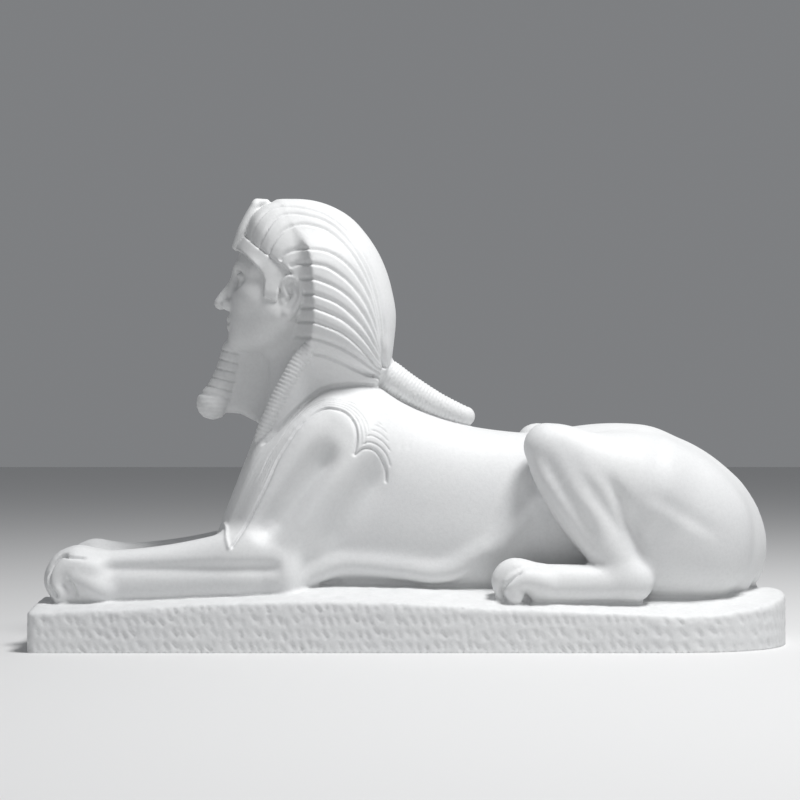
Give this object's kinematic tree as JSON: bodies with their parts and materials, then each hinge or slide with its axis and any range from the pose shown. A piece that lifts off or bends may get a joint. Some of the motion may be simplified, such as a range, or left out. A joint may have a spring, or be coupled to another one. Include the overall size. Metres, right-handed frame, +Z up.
{
  "type": "sphinx statue",
  "caption": "Sphinx statue: a lying lion's body with a royal head in a striped headcloth, forelegs stretched out, cast in one piece with its rough slab.",
  "frame": {"origin": "middle of the slab's underside", "axes": "+Z up; X along the body, the head faces -X; the sphinx's left side faces -Y"},
  "size_m": [0.5, 0.18, 0.3029],
  "materials": {
    "cast_marble": "matte white cast marble, slightly satin on the smooth figure, granular and tooled on the slab"
  },
  "bodies": {
    "root": {"sphinx_statue": "cast_marble"}
  },
  "joints": []
}
